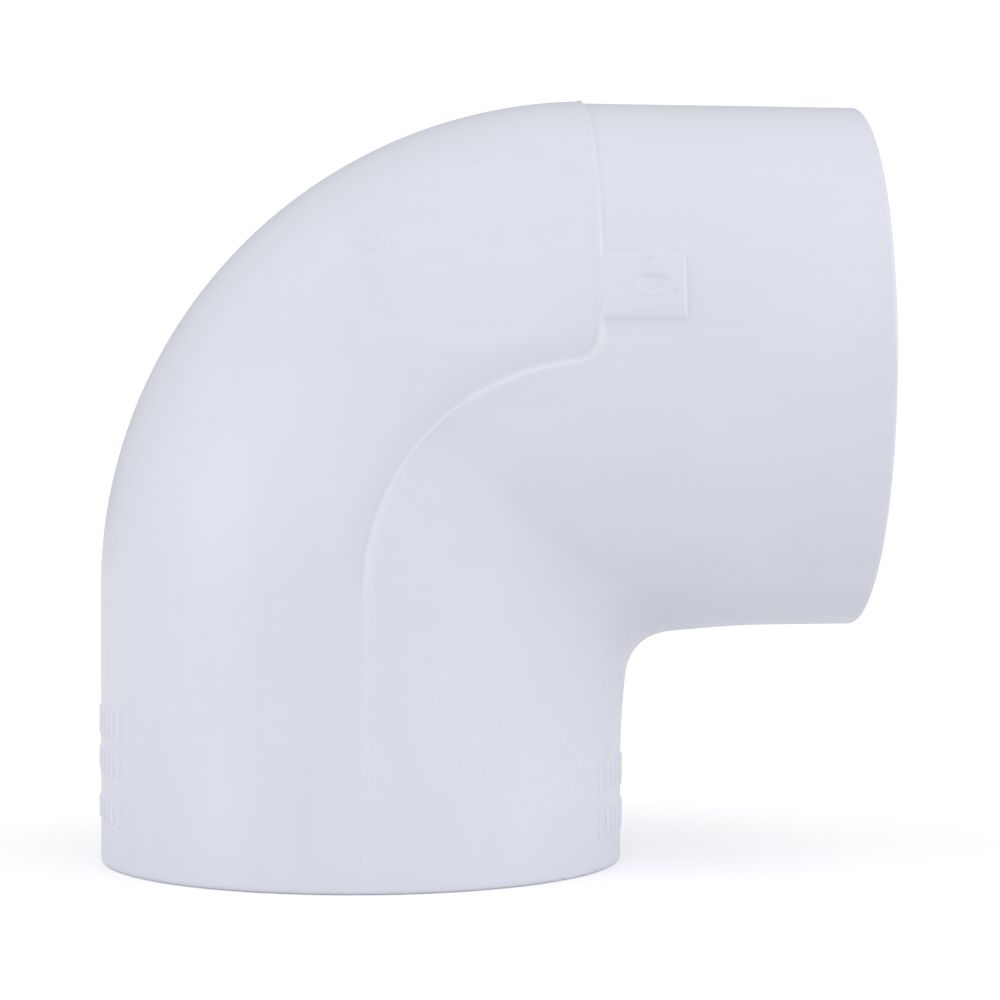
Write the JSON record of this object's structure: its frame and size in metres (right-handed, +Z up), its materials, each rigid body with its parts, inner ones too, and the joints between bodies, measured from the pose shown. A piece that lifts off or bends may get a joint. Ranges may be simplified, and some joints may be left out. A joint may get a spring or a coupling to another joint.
{
  "type": "pipe elbow",
  "caption": "Right-angle slip by slip pipe elbow in white PVC, with a swept heel, a creased throat and two plain sockets.",
  "frame": {"origin": "centre of the lower mouth, on the plane of its rim", "axes": "+Z up the lower hub's axis; +X out of the side hub's mouth; the fitting stands on its lower rim"},
  "size_m": [0.147, 0.1024, 0.1475],
  "materials": {
    "white_pvc": "satin"
  },
  "bodies": {
    "root": {"elbow_body": "white_pvc"}
  },
  "joints": []
}
